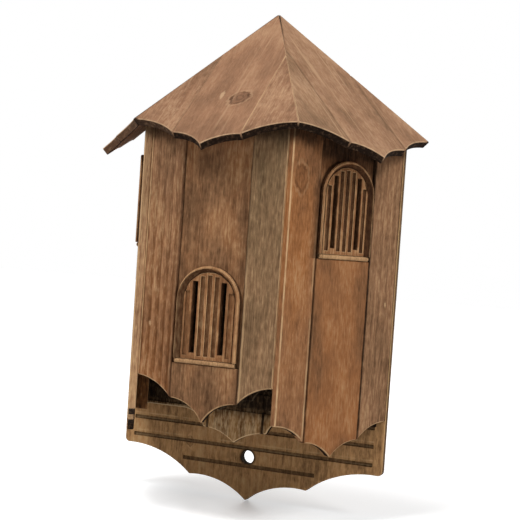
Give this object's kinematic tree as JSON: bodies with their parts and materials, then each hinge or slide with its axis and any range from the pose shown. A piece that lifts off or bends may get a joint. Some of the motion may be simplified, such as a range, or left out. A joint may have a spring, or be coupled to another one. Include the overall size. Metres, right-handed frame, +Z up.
{
  "type": "bat box",
  "caption": "Wall-hung timber bat box: half-hexagon tower of upright boards with arched vent windows, scalloped pyramid roof and open foot, on a long grooved back plate.",
  "frame": {"origin": "centre of the lower screw hole, where it meets the wall, on the back plate's rear face", "axes": "+X to the right as seen from the front, +Y into the wall, +Z up"},
  "size_m": [0.29, 0.1473, 0.4351],
  "materials": {
    "plate_wood": "burnt and brushed fir, matt",
    "wall_wood": "burnt and brushed fir, matt",
    "window_wood": "burnt and brushed fir, matt",
    "moulding_wood": "burnt fir, brushed edges",
    "inner_wood": "burnt fir, left rough",
    "roof_wood": "burnt and brushed fir, matt",
    "hanger_steel": "zinc plated",
    "screw_steel": "yellow zinc plated"
  },
  "bodies": {
    "root": {"back_plate": "plate_wood", "front_left_board": "wall_wood", "front_right_board": "wall_wood", "left_front_board": "wall_wood", "left_rear_board": "wall_wood", "right_front_board": "wall_wood", "right_rear_board": "wall_wood", "front_window_board": "window_wood", "front_lower_board": "window_wood", "left_window_board": "window_wood", "left_lower_board": "window_wood", "right_window_board": "window_wood", "right_lower_board": "window_wood", "front_window_frame": "moulding_wood", "front_window_panel": "moulding_wood", "front_window_sill": "moulding_wood", "left_window_frame": "moulding_wood", "left_window_panel": "moulding_wood", "left_window_sill": "moulding_wood", "right_window_frame": "moulding_wood", "right_window_panel": "moulding_wood", "right_window_sill": "moulding_wood", "front_partition_left": "inner_wood", "front_partition_centre": "inner_wood", "front_partition_right": "inner_wood", "rear_partition_left": "inner_wood", "rear_partition_centre": "inner_wood", "rear_partition_right": "inner_wood", "front_partition_cleat": "inner_wood", "rear_partition_cleat": "inner_wood", "front_spacer_left": "inner_wood", "front_spacer_right": "inner_wood", "rear_spacer_left": "inner_wood", "rear_spacer_right": "inner_wood", "left_corner_block": "inner_wood", "right_corner_block": "inner_wood", "front_roof_left_board": "roof_wood", "front_roof_middle_board": "roof_wood", "front_roof_right_board": "roof_wood", "left_roof_front_board": "roof_wood", "left_roof_middle_board": "roof_wood", "left_roof_rear_board": "roof_wood", "right_roof_front_board": "roof_wood", "right_roof_middle_board": "roof_wood", "right_roof_rear_board": "roof_wood", "hanger_plate": "hanger_steel", "hanger_screws": "screw_steel"}
  },
  "joints": []
}
